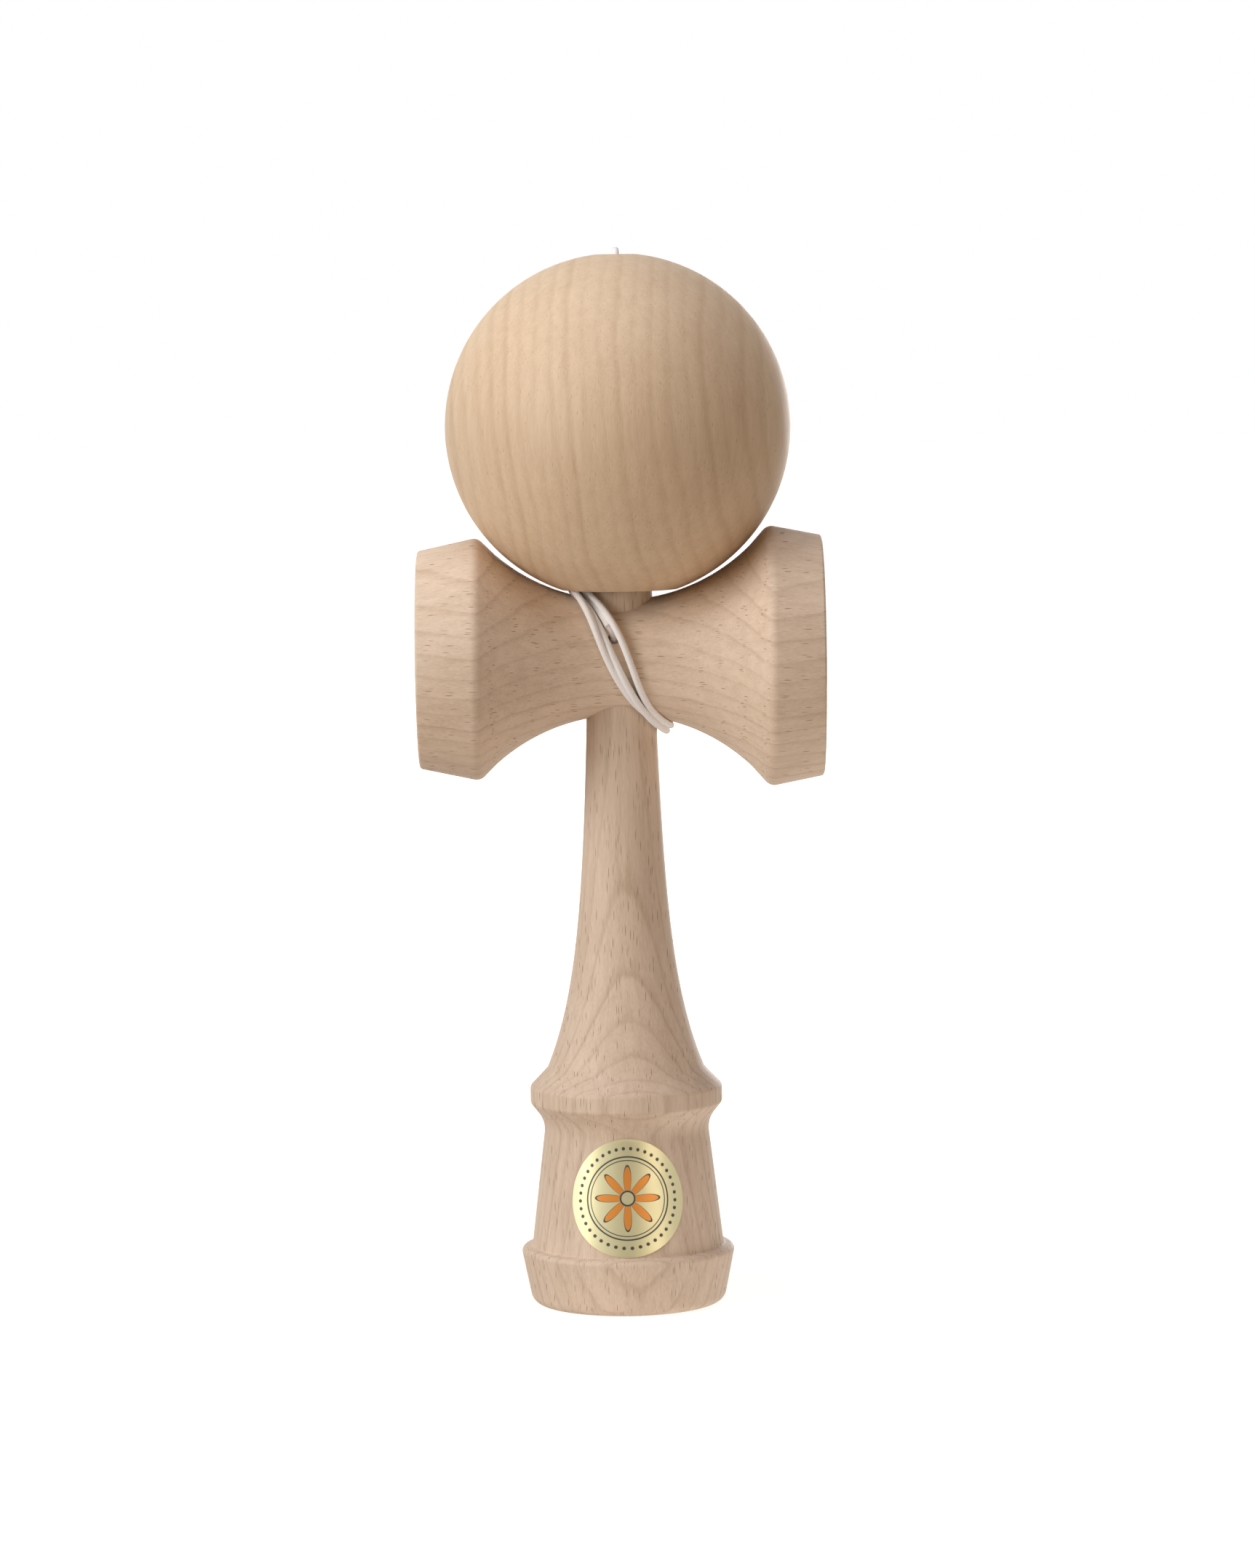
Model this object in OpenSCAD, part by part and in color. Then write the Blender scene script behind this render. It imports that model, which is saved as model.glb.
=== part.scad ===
// Kendama: a turned handle with a spike, a cross-piece with two cups pushed onto it, a drilled ball
// on a string, and a round foil seal. The handle stands on its base cup at z = 0, its spike points
// along +Z, the big cup faces +X and the front faces -Y. All sizes are in millimetres.

/* [Handle] */
// Radius of the foot where the base side would meet the ground
foot_r = 16.8; // [15:0.1:18.5]
// Rounding between the base side and the ground
foot_round = 2.2; // [0.5:0.1:2.6]
// Radius of the base lip
base_lip_r = 18.8; // [17.8:0.1:20]
// Height of the base lip above the ground
base_lip_h = 9.9; // [8:0.1:12]
// Height of the cove between the base lip and the waist
base_cove_h = 2.7; // [2:0.1:4]
// Radius at the foot of the waist
waist_low_r = 16.7; // [15.5:0.1:17.5]
// Height of the conical waist
waist_h = 19.6; // [15:0.1:24]
// Radius at the top of the waist
waist_top_r = 14.2; // [13:0.1:15]
// Height of the cove between the waist and the collar
collar_cove_h = 3.7; // [2.5:0.1:5]
// Radius of the collar
collar_r = 16.8; // [16:0.1:18]
// Height of the straight band of the collar
collar_h = 2.7; // [2:0.1:5]
// Height of the slope from the collar to the handle
collar_slope_h = 3; // [2:0.1:4]
// Rounding along the edges of the collar and of the base lip
lip_round = 1.2; // [0.4:0.1:1.3]
// Length of the flared handle from the collar slope to the neck
handle_h = 58.4; // [50:0.1:66]
// Radius of the neck at the top of the flare
neck_r = 6.2; // [5.6:0.05:6.5]
// Radius that the neck loses for each millimetre of height
neck_taper = 0.023; // [0.01:0.001:0.03]
// Extra radius of the flare at its foot, over the straight taper
flare_r = 6.2; // [5:0.1:7]
// Height in which the flare falls to about a third
flare_fall = 16.3; // [12:0.1:20]
// Bare neck between the flare and the cross-piece
neck_bare_h = 3.4; // [2.5:0.1:6]
// Length of the spike above the cross-piece
spike_h = 32.5; // [28:0.1:36]
// Radius at the blunt tip of the spike
spike_tip_r = 2.7; // [2:0.1:3.5]
// Radius of the mouth of the base cup
base_cup_r = 13; // [11:0.1:13.5]
// Depth of the base cup
base_cup_depth = 6.6; // [5:0.1:8]

/* [Cross-piece] */
// Radius of the cross-piece at its middle
saddle_r = 10.05; // [9.5:0.05:11]
// Distance from the middle to either cup rim
rim_x = 35.2; // [32:0.1:38]
// Outer radius of the big cup's rim
big_rim_r = 20.95; // [20.5:0.05:22]
// Radius of the mouth of the big cup
big_mouth_r = 19.5; // [18:0.1:19.8]
// Depth of the big cup
big_depth = 9.3; // [7:0.1:11]
// Radius of the big cup's shoulder
big_shoulder_r = 22.8; // [22:0.1:24]
// Distance of the big cup's shoulder from the middle
big_shoulder_x = 25.8; // [24:0.1:28]
// Outer radius of the small cup's rim
small_rim_r = 18.95; // [18.6:0.05:20]
// Radius of the mouth of the small cup
small_mouth_r = 17.6; // [16:0.1:17.9]
// Depth of the small cup
small_depth = 8.8; // [7:0.1:10]
// Radius of the small cup's shoulder
small_shoulder_r = 21.2; // [20.5:0.1:22.5]
// Distance of the small cup's shoulder from the middle
small_shoulder_x = 24.7; // [23:0.1:27]
// Rounding of the two shoulders
shoulder_round = 2; // [0.5:0.1:2.4]
// Rounding of the two rims
rim_round = 0.6; // [0.2:0.1:0.7]
// Clearance all round between the neck and the tapered bore
bore_gap = 0.05; // [0.02:0.01:0.1]

/* [Ball] */
// Radius of the ball
ball_r = 30; // [28:0.1:31]
// Gap between the ball and the middle of the cross-piece
ball_gap = 0.35; // [0.3:0.05:1]
// Radius of the spike hole
spike_hole_r = 9.8; // [9.7:0.1:11]
// Depth of the spike hole from the lowest point of the ball
spike_hole_depth = 47.5; // [46:0.1:50]
// Bevel round the mouth of the spike hole
mouth_bevel = 0.5; // [0.2:0.1:1]
// Radius of the hole for the string
ball_string_hole_r = 1.4; // [1:0.1:2]
// Radius of the countersink round the string hole, level with the top of the ball
countersink_r = 3.8; // [3:0.1:5]
// Depth of that countersink
countersink_depth = 3; // [2:0.1:4]

/* [String] */
// Diameter of the string
string_d = 1; // [0.8:0.05:1.05]
// Gap between the string and the wood that it lies on
string_gap = 0.1; // [0.05:0.01:0.15]
// Distance of the string hole from the middle of the cross-piece, towards the small cup
string_hole_x = 1.15; // [1:0.05:1.3]
// Angle of the string hole above the front of the cross-piece
string_hole_angle = 23; // [20:1:26]
// Radius of the string hole
string_hole_r = 1.1; // [0.8:0.05:1.4]
// Radius of the knot at either end of the string
knot_r = 1.4; // [1.2:0.05:1.6]
// Length of either knot along the string
knot_h = 1.6; // [1.2:0.05:1.7]
// Clearance round the knot in its pocket
knot_gap = 0.3; // [0.1:0.05:0.5]
// Radius of the bead in the ball
bead_r = 3.4; // [3:0.1:4]
// Radius of the hole in the bead
bead_hole_r = 0.8; // [0.7:0.05:1.2]
// Gap between the bead and the end of the spike hole
bead_gap = 0.3; // [0.2:0.05:0.5]

/* [Seal] */
// Radius of the round foil seal before it is bent round the waist
seal_r = 10.2; // [8:0.1:11]
// Thickness of the foil
seal_thickness = 0.12; // [0.08:0.01:0.3]
// Height of the seal's centre above the ground
seal_z = 20.7; // [20:0.1:21.5]
// Film of glue between the foil and the wood
glue_gap = 0.02; // [0.01:0.01:0.05]

/* [Hidden] */

// Facets of a full turn, for views only
$fn = 96;
// Straight steps in an edge rounding, in a turned curve and in the flare
round_steps = 6;
curve_steps = 16;
flare_steps = 24;
// How far a cutter runs past the face that it cuts
past = 1;

// Heights up the handle
waist_low_z = base_lip_h + base_cove_h;
waist_top_z = waist_low_z + waist_h;
collar_low_z = waist_top_z + collar_cove_h;
collar_top_z = collar_low_z + collar_h;
flare_z = collar_top_z + collar_slope_h;
neck_z = flare_z + handle_h;
cross_z = neck_z + neck_bare_h + saddle_r;
cross_top_z = cross_z + saddle_r;
spike_root_z = cross_top_z + 2 * string_d;
spike_tip_z = cross_top_z + spike_h;
cove_round = 3;
collar_cove_round = 5;
spike_root_round = 30;

// Places up the ball
ball_z = cross_top_z + ball_gap + ball_r;
ball_top_z = ball_z + ball_r;
spike_hole_z = ball_z - ball_r + spike_hole_depth;
mouth_z = ball_z - sqrt(ball_r ^ 2 - spike_hole_r ^ 2);
bead_z = spike_hole_z - bead_gap - bead_r;
end_knot_z = bead_z - bead_r - string_gap;

// Straight taper of the neck at height z
function neck_r_at(z) = neck_r - neck_taper * (z - neck_z);

// Handle radius at height z: the straight taper and a flare that dies away at the neck
function fade(z) = exp(-(z - flare_z) / flare_fall) - exp(-handle_h / flare_fall);
function handle_r_at(z) = neck_r_at(z) + flare_r * fade(z) / fade(flare_z);

// Part of an outline corner's shorter side that its rounding may take up
round_share = 0.48;

function unit(v) = v / norm(v);
function turned_less(a) = a > 180 ? a - 360 : a < -180 ? a + 360 : a;

// Points of the arc that rounds corner c, between its neighbours a and b, with the radius c[2]
function corner_arc(a, c, b) =
    let (p = [c[0], c[1]])
    let (u = unit([a[0], a[1]] - p))
    let (v = unit([b[0], b[1]] - p))
    let (half = acos(u * v) / 2)
    let (room = round_share * min(norm([a[0], a[1]] - p), norm([b[0], b[1]] - p)))
    let (t = min(c[2] / tan(half), room))
    let (centre = p + unit(u + v) * t / cos(half))
    let (from = p + u * t - centre)
    let (to = p + v * t - centre)
    let (start = atan2(from[1], from[0]))
    let (sweep = turned_less(atan2(to[1], to[0]) - start))
    [for (i = [0 : round_steps])
        centre + norm(from) * [cos(start + sweep * i / round_steps), sin(start + sweep * i / round_steps)]];

// Outline through corners [radius, height, rounding]; a corner without rounding stays as it is
function rounded(corners) = [
    for (i = [0 : len(corners) - 1])
        each corners[i][2] == 0
            ? [[corners[i][0], corners[i][1]]]
            : corner_arc(corners[i - 1], corners[i], corners[i + 1])];

// Dish of a cup with the given mouth radius and depth, from its deepest point to its mouth at height 0
function dish(mouth_r, depth) =
    let (r = (mouth_r ^ 2 + depth ^ 2) / (2 * depth))
    let (half = asin(mouth_r / r))
    [for (i = [0 : curve_steps])
        [r * sin(half * i / curve_steps), r * cos(half * i / curve_steps) - r + depth, 0]];

// Outside of the handle from the ground to the foot of the flare
ken_turnings = [
    [foot_r, 0, foot_round],
    [base_lip_r, base_lip_h, lip_round],
    [waist_low_r, waist_low_z, cove_round],
    [waist_top_r, waist_top_z, collar_cove_round],
    [collar_r, collar_low_z, lip_round],
    [collar_r, collar_top_z, lip_round],
    [handle_r_at(flare_z), flare_z, 0]];

ken_flare = [
    for (i = [1 : flare_steps])
        [handle_r_at(flare_z + handle_h * i / flare_steps), flare_z + handle_h * i / flare_steps, 0]];

ken_spike = [
    [neck_r_at(spike_root_z), spike_root_z, spike_root_round],
    [spike_tip_r, spike_tip_z, spike_tip_r],
    [0, spike_tip_z, 0]];

// Radius of the cross-piece at x from its middle: an arc from the middle to each shoulder
function arc_r(reach, rise) = (reach ^ 2 + rise ^ 2) / (2 * rise);
big_arc_r = arc_r(big_shoulder_x, big_shoulder_r - saddle_r);
small_arc_r = arc_r(small_shoulder_x, small_shoulder_r - saddle_r);
function side_arc_r(x) = x > 0 ? big_arc_r : small_arc_r;
function saddle_r_at(x) = saddle_r + side_arc_r(x) - sqrt(side_arc_r(x) ^ 2 - x ^ 2);

// Share of each arc that is turned before the straight run to its shoulder
arc_share = 0.88;
cross_saddle = [
    for (i = [-curve_steps : curve_steps])
        let (x = arc_share * i / curve_steps * (i > 0 ? big_shoulder_x : small_shoulder_x))
        [saddle_r_at(x), x, 0]];

function flipped(outline) = [for (i = [len(outline) - 1 : -1 : 0]) outline[i]];

cross_outline = concat(
    [for (p = dish(small_mouth_r, small_depth)) [p[0], p[1] - rim_x, 0]],
    [[small_rim_r, -rim_x, rim_round]],
    [[small_shoulder_r, -small_shoulder_x, shoulder_round]],
    cross_saddle,
    [[big_shoulder_r, big_shoulder_x, shoulder_round]],
    [[big_rim_r, rim_x, rim_round]],
    flipped([for (p = dish(big_mouth_r, big_depth)) [p[0], rim_x - p[1], 0]]));

// String

string_r = string_d / 2;
// Rings for each loop of the winding and steps between the route's points; sides of either tube
loop_rings = 24;
route_steps = 2;
winding_sides = 6;
free_sides = 8;
// Turns at which the string has left its hole, and at which it leaves the winding over the top
start_turn = string_hole_angle / 360;
bend_turn = start_turn + 0.024;
end_turn = 3.25;
// Part of a turn that runs straight at the end of the winding
end_run = 0.02;
// Reach of the loops to either side of the spike and how sharply they round it
loop_reach = 7.9;
loop_bend = 1.9;
// Step from loop to loop at the front and back, and over the top and under the bottom
side_step = 1.9;
pole_step = 0.72;
// Turn at the middle of the winding
middle_turn = 1.75;
// How far every other loop is lifted over the one below it, over the top and under the bottom
loop_lift = 1.65;
// How far the loops part round the string hole
hole_part = 0.85;

// Side on which a loop passes the string hole: the first to the big cup's side, the others to the small cup's
function passing_side(turn) = turn < 0.5 ? 0 : turn < 1.5 ? 1 : -1;

// Distance along the cross-piece at a turn, counted from the front and upwards
function loop_x(turn) =
    let (a = 360 * turn)
    let (swing = loop_reach * sin(a) / sqrt(sin(a) ^ 2 + (loop_bend * cos(a)) ^ 2))
    let (step = side_step * cos(a) ^ 2 + pole_step * sin(a) ^ 2)
    let (part = hole_part * max(0, cos(a - string_hole_angle)) ^ 2)
    passing_side(turn) * part - swing - step * (turn - middle_turn);

// The first quarter turn runs from the string hole to the first loop's place over the top
function eased(t) = (1 - t) ^ 2 * (1 + 2 * t);
function winding_x(turn) =
    let (t = min(1, (turn - start_turn) / (0.25 - start_turn)))
    loop_x(turn) - (string_hole_x + loop_x(start_turn)) * eased(t);

function on_cross(x, r, turn) = [x, -r * cos(360 * turn), cross_z + r * sin(360 * turn)];

function winding_at(turn) =
    let (x = winding_x(turn))
    let (lift = loop_lift * abs(sin(360 * turn)) * (floor(turn) % 2))
    on_cross(x, saddle_r_at(x) + string_r + string_gap + lift, turn);

// Knot pocket in the cross-piece, along the axis of the string hole
pocket_r = knot_r + knot_gap;
pocket_end_r = saddle_r - 1.35;
knot_face_r = pocket_end_r - string_gap;

winding_steps = round(loop_rings * (end_turn - bend_turn));
winding_end = winding_at(end_turn);
winding_end_way = unit(winding_end - winding_at(end_turn - end_run));
winding_route = concat(
    [for (r = [knot_face_r, knot_face_r + string_d, saddle_r + string_r])
        on_cross(-string_hole_x, r, start_turn)],
    [for (i = [0 : winding_steps - 1])
        winding_at(bend_turn + (end_turn - end_run - bend_turn) * i / (winding_steps - 1))],
    [winding_end]);

// Least gap between the loops, measured from point to point
gap_steps = 72;
gap_points = [for (i = [0 : gap_steps * 3]) winding_at(bend_turn + i / gap_steps)];
loop_gap = min([
    for (i = [0 : len(gap_points) - 1])
        for (j = [i + gap_steps / 2 : 1 : len(gap_points) - 1])
            norm(gap_points[i] - gap_points[j])]) - string_d;
echo(least_gap_in_winding = loop_gap);

// Route of the free string behind the ball, after it leaves the winding
riser_points = [
    [-8.2, 4, 125.8],
    [-7.6, 7.5, 124.2],
    [-6.9, 11, 124.6],
    [-6.2, 15, 127.2],
    [-5.4, 20, 130.4],
    [-4.4, 25, 136],
    [-3.2, 29, 143.4],
    [-2.2, 30.8, 151],
    [-1.4, 30.7, 158],
    [-0.8, 28.6, 166],
    [-0.4, 24.6, 173],
    [-0.2, 18.6, 178.8],
    [0, 11.6, 182.6],
    [0, 6.4, 184],
    [0, 3.6, 184.3],
    [0, 1.4, 183],
    [0, 0.2, 181.6],
    [0, 0, 180.6]];
riser_end_z = 179.6;

riser_corners = concat(
    [winding_end, winding_end + string_d * winding_end_way],
    riser_points,
    [[0, 0, riser_end_z]]);

// Smooth curve through the points, with the given steps between neighbours
function between(a, b, c, d, t) =
    0.5 * (2 * b + (c - a) * t + (2 * a - 5 * b + 4 * c - d) * t ^ 2 + (3 * b - a - 3 * c + d) * t ^ 3);
function smooth(p, steps) = concat(
    [p[0]],
    [for (i = [1 : len(p) - 3])
        for (k = [0 : steps - 1])
            between(p[i - 1], p[i], p[i + 1], p[i + 2], k / steps)],
    [p[len(p) - 2], p[len(p) - 1]]);

// Direction of a route at its point i
function way(p, i) = unit(p[min(i + 1, len(p) - 1)] - p[max(i - 1, 0)]);

// Tube of the given radius along a route that never runs along X
module tube(route, r, sides) {
    last = len(route) - 1;
    rings = [
        for (i = [0 : last])
            let (t = way(route, i))
            let (n = unit(cross(t, [1, 0, 0])))
            let (b = cross(t, n))
            for (j = [0 : sides - 1])
                route[i] + r * (cos(360 * j / sides) * n + sin(360 * j / sides) * b)];
    walls = [
        for (i = [0 : last - 1])
            for (j = [0 : sides - 1])
                let (a = i * sides + j)
                let (b = i * sides + (j + 1) % sides)
                each [[a, a + sides, b + sides], [a, b + sides, b]]];
    start_cap = [for (j = [1 : sides - 2]) [0, j, j + 1]];
    end_cap = [for (j = [1 : sides - 2]) [last * sides, last * sides + j + 1, last * sides + j]];
    polyhedron(rings, concat(walls, start_cap, end_cap));
}

// Knot as a small barrel that starts at the origin and runs along +Z
module knot() {
    rotate_extrude()
        polygon(rounded([[0, 0, 0], [knot_r, 0, knot_h / 3], [knot_r, knot_h, knot_h / 3], [0, knot_h, 0]]));
}

// Frame of the string hole: origin on the cross-piece's axis, +Z out through the front
module along_string_hole() {
    translate([-string_hole_x, 0, cross_z])
        rotate([90 - string_hole_angle, 0, 0])
            children();
}

// Handle, one turned piece: base cup, waist, collar, flared grip, neck and spike
module ken() {
    color("#d0ad8f")
        rotate_extrude()
            polygon(rounded(concat(
                dish(base_cup_r, base_cup_depth),
                ken_turnings, ken_flare, ken_spike)));
}

// Cross-piece, turned about X, with the tapered bore for the neck and the hole for the string
module cross_piece() {
    color("#c4a27f")
        difference() {
            translate([0, 0, cross_z])
                rotate([0, 90, 0])
                    rotate_extrude()
                        polygon(rounded(cross_outline));
            translate([0, 0, neck_z])
                cylinder(
                    h = spike_root_z - neck_z,
                    r1 = neck_r_at(neck_z) + bore_gap,
                    r2 = neck_r_at(spike_root_z) + bore_gap);
            along_string_hole()
                cylinder(h = saddle_r + past, r = string_hole_r);
            along_string_hole()
                cylinder(h = pocket_end_r, r = pocket_r);
        }
}

// Ball, with the spike hole from below, the string hole from above and a countersink round it
module ball() {
    color("#cfb798")
        difference() {
            translate([0, 0, ball_z])
                sphere(r = ball_r);
            translate([0, 0, ball_z - ball_r - past])
                cylinder(h = spike_hole_depth + past, r = spike_hole_r);
            translate([0, 0, mouth_z - mouth_bevel])
                cylinder(h = 2 * mouth_bevel, r1 = spike_hole_r + 2 * mouth_bevel, r2 = spike_hole_r);
            translate([0, 0, spike_hole_z - past])
                cylinder(h = ball_top_z - spike_hole_z + 2 * past, r = ball_string_hole_r);
            translate([0, 0, ball_top_z - countersink_depth])
                cylinder(h = countersink_depth + past, r1 = 0,
                         r2 = countersink_r * (countersink_depth + past) / countersink_depth);
        }
}

// Bead that stops the string in the ball and lets the ball turn
module bead() {
    color("#b58a5c")
        difference() {
            translate([0, 0, bead_z])
                sphere(r = bead_r);
            translate([0, 0, bead_z - bead_r - past])
                cylinder(h = 2 * (bead_r + past), r = bead_hole_r);
        }
}

// Foil seal: a thin shell on the outline of the waist, cut to a circle that is bent round it
seal_bend_r = waist_low_r + (waist_top_r - waist_low_r) * (seal_z - waist_low_z) / waist_h;
seal_half_w = seal_bend_r * sin(seal_r / seal_bend_r * 180 / PI);
seal_sides = 60;
ken_side = [for (p = rounded(concat([[base_cup_r, 0, 0]], ken_turnings))) if (p[1] > base_lip_h) p];
seal_inner = [for (p = ken_side) if (p[1] < collar_low_z) p + [glue_gap, 0]];
seal_outer = [for (p = seal_inner) p + [seal_thickness, 0]];

module foil_seal() {
    color("#e6dc9a")
        intersection() {
            rotate_extrude()
                polygon(concat(seal_inner, flipped(seal_outer)));
            translate([0, 0, seal_z])
                rotate([90, 0, 0])
                    linear_extrude(2 * base_lip_r)
                        polygon([
                            for (i = [0 : seal_sides - 1])
                                [seal_half_w * cos(360 * i / seal_sides), seal_r * sin(360 * i / seal_sides)]]);
        }
}

// String round the cross-piece, from the knot in its pocket to the last loop over the top
module string_winding() {
    color("#eae0da")
        tube(winding_route, string_r, winding_sides);
}

// Free string from the winding up behind the ball and into its string hole
module string_riser() {
    color("#eae0da")
        tube(smooth(riser_corners, route_steps), string_r, free_sides);
}

// String in the ball, through the bead to its knot
module string_tail() {
    color("#eae0da")
        tube([[0, 0, riser_end_z], [0, 0, (riser_end_z + end_knot_z) / 2], [0, 0, end_knot_z]],
             string_r, free_sides);
}

// Knot in the pocket of the cross-piece
module anchor_knot() {
    color("#ddd2ca")
        along_string_hole()
            translate([0, 0, knot_face_r - knot_h])
                knot();
}

// Knot under the bead
module end_knot() {
    color("#ddd2ca")
        translate([0, 0, end_knot_z - knot_h])
            knot();
}

ken();
cross_piece();
ball();
bead();
foil_seal();
string_winding();
string_riser();
string_tail();
anchor_knot();
end_knot();
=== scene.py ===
import math

import bmesh
import bpy
import numpy as np
from mathutils import Matrix, Vector


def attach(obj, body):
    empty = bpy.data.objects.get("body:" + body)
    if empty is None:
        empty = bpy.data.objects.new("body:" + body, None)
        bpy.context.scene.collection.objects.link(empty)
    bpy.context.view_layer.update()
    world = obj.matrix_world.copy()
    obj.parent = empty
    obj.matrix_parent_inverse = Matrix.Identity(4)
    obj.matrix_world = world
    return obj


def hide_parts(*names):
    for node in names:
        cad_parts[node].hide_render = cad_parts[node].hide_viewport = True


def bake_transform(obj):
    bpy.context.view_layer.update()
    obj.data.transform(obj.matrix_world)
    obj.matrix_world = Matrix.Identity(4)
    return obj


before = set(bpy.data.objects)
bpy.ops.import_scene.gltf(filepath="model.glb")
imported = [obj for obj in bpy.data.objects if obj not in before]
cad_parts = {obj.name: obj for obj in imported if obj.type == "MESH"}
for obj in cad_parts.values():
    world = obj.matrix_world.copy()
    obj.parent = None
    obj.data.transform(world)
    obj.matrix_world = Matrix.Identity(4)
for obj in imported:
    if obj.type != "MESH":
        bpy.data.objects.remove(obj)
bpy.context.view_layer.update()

# Handle. One piece of beech, turned on a lathe with the grain along it: a cup in the base, a waist, a
# collar, a flared grip, and a tapered neck that ends in the spike. It is sanded smooth and left bare.

MM = 0.001

foot_r = 16.8 * MM
foot_round = 2.2 * MM
base_cup_r = 13 * MM
base_cup_depth = 6.6 * MM
base_lip_r = 18.8 * MM
base_lip_z = 10.0 * MM
waist_low_r = 16.8 * MM
waist_low_z = 10.2 * MM
waist_top_r = 14.2 * MM
waist_top_z = 32.2 * MM
collar_r = 16.8 * MM
collar_low_z = 35.5 * MM
collar_top_z = 38.4 * MM
lip_round = 1.0 * MM
base_cove_round = 0.4 * MM
collar_cove_round = 5 * MM
flare_z = 41.6 * MM
flare_r = 6.2 * MM
flare_fall = 16.3 * MM
neck_z = 100 * MM
neck_r = 6.2 * MM
neck_taper = 0.023
spike_root_z = 125.5 * MM
spike_root_round = 30 * MM
spike_tip_z = 156 * MM
spike_tip_r = 2.7 * MM

side_share = 0.48
merge_gap = 1e-7
crease_angle = 40


def dish(mouth_r, depth, steps=40):
    """Outline of a hollow from its deepest point to its mouth at height 0: an arc of the sphere that has
    that mouth and that depth."""
    sphere_r = (mouth_r**2 + depth**2) / (2 * depth)
    a = np.linspace(0, math.asin(mouth_r / sphere_r), steps)
    return np.stack([sphere_r * np.sin(a), sphere_r * np.cos(a) - sphere_r + depth, 0 * a], axis=-1)


def rounded(corners, steps=10):
    """Outline through corners (radius, height, rounding). A rounded corner becomes the arc of that radius
    that touches both of its sides, or the largest arc that a share of its shorter side has room for."""
    corners = np.asarray(corners, float)
    outline = []
    for i, (radius, height, rounding) in enumerate(corners):
        corner = np.array([radius, height])
        if rounding == 0:
            outline.append(corner[None])
            continue
        sides = [corners[k, :2] - corner for k in (i - 1, i + 1)]
        room = side_share * min(np.linalg.norm(side) for side in sides)
        u, v = [side / np.linalg.norm(side) for side in sides]
        half = math.acos(u @ v) / 2
        reach = min(rounding / math.tan(half), room)
        centre = corner + (u + v) / np.linalg.norm(u + v) * reach / math.cos(half)
        turn = math.pi - 2 * half
        t = np.linspace(0, 1, steps + 1)[:, None]
        start, end = corner + u * reach - centre, corner + v * reach - centre
        outline.append(centre + (np.sin((1 - t) * turn) * start + np.sin(t * turn) * end) / math.sin(turn))
    return np.concatenate(outline)


def turned(outline, sides=180):
    """Surface of revolution about Z: the outline's point (r, h) at the angle a is (r cos a, r sin a, h)."""
    a = np.linspace(0, 2 * np.pi, sides + 1)
    r, h = np.asarray(outline).T
    return np.stack([np.outer(r, np.cos(a)), np.outer(r, np.sin(a)), np.outer(h, np.ones_like(a))], axis=-1)


def skin(name, grid, uv=None, crease=crease_angle):
    """Piece with quads between neighbouring points of a grid. Points that coincide, at the seam and at the
    poles, are merged, faces turn outwards, and edges sharper than the crease angle stay sharp."""
    rows, columns = grid.shape[:2]
    number = np.arange(rows * columns).reshape(rows, columns)
    corners = [number[:-1, :-1], number[:-1, 1:], number[1:, 1:], number[1:, :-1]]
    quads = np.stack(corners, axis=-1).reshape(-1, 4)
    mesh = bpy.data.meshes.new(name)
    mesh.from_pydata(grid.reshape(-1, 3).tolist(), [], quads.tolist())
    if uv is not None:
        layer = mesh.uv_layers.new(name="UVMap")
        layer.data.foreach_set("uv", uv.reshape(-1, 2)[quads.ravel()].astype(np.float32).ravel())
    shape = bmesh.new()
    shape.from_mesh(mesh)
    bmesh.ops.remove_doubles(shape, verts=shape.verts, dist=merge_gap)
    bmesh.ops.recalc_face_normals(shape, faces=shape.faces)
    shape.to_mesh(mesh)
    shape.free()
    mesh.shade_smooth()
    mesh.set_sharp_from_angle(angle=math.radians(crease))
    piece = bpy.data.objects.new(name, mesh)
    bpy.context.scene.collection.objects.link(piece)
    return piece


class Shade:
    """A shader socket. Arithmetic on it adds Math nodes, and node() adds any other node to its tree."""

    def __init__(self, tree, socket=None):
        self.tree = tree
        self.socket = socket

    def node(self, kind, settings, inputs, output=0):
        """One output of a new node of that type, after its settings and then its sockets are set."""
        made = self.tree.nodes.new(kind)
        for name, value in settings.items():
            setattr(made, name, value)
        for name, value in inputs.items():
            if isinstance(value, Shade):
                self.tree.links.new(value.socket, made.inputs[name])
            else:
                made.inputs[name].default_value = value
        return Shade(self.tree, made.outputs[output])

    def math(self, operation, *values):
        return self.node("ShaderNodeMath", {"operation": operation}, dict(enumerate(values)))

    def vector(self, operation, *values, output=0):
        return self.node("ShaderNodeVectorMath", {"operation": operation}, dict(enumerate(values)), output)

    def mix(self, share, a, b):
        """Colour a where share is 0, and b where it is 1."""
        return self.node("ShaderNodeMix", {"data_type": "RGBA"}, {0: share, 6: a, 7: b}, 2)

    def between(self, low, high):
        """0 up to low and 1 from high, with a smooth step; high may be the smaller one."""
        return self.node(
            "ShaderNodeMapRange",
            {"interpolation_type": "SMOOTHSTEP"},
            {"Value": self, "From Min": low, "From Max": high},
        )

    def noise(self, detail=2.0, rough=0.5):
        """Soft noise from 0 to 1 over this vector, about one wave for each unit of length."""
        return self.node(
            "ShaderNodeTexNoise", {}, {"Vector": self, "Scale": 1.0, "Detail": detail, "Roughness": rough}
        )

    def __add__(self, other):
        return self.math("ADD", self, other)

    def __sub__(self, other):
        return self.math("SUBTRACT", self, other)

    def __rsub__(self, other):
        return self.math("SUBTRACT", other, self)

    def __mul__(self, other):
        return self.math("MULTIPLY", self, other)

    def __truediv__(self, other):
        return self.math("DIVIDE", self, other)

    def __pow__(self, other):
        return self.math("POWER", self, other)

    __radd__ = __add__
    __rmul__ = __mul__


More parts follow.
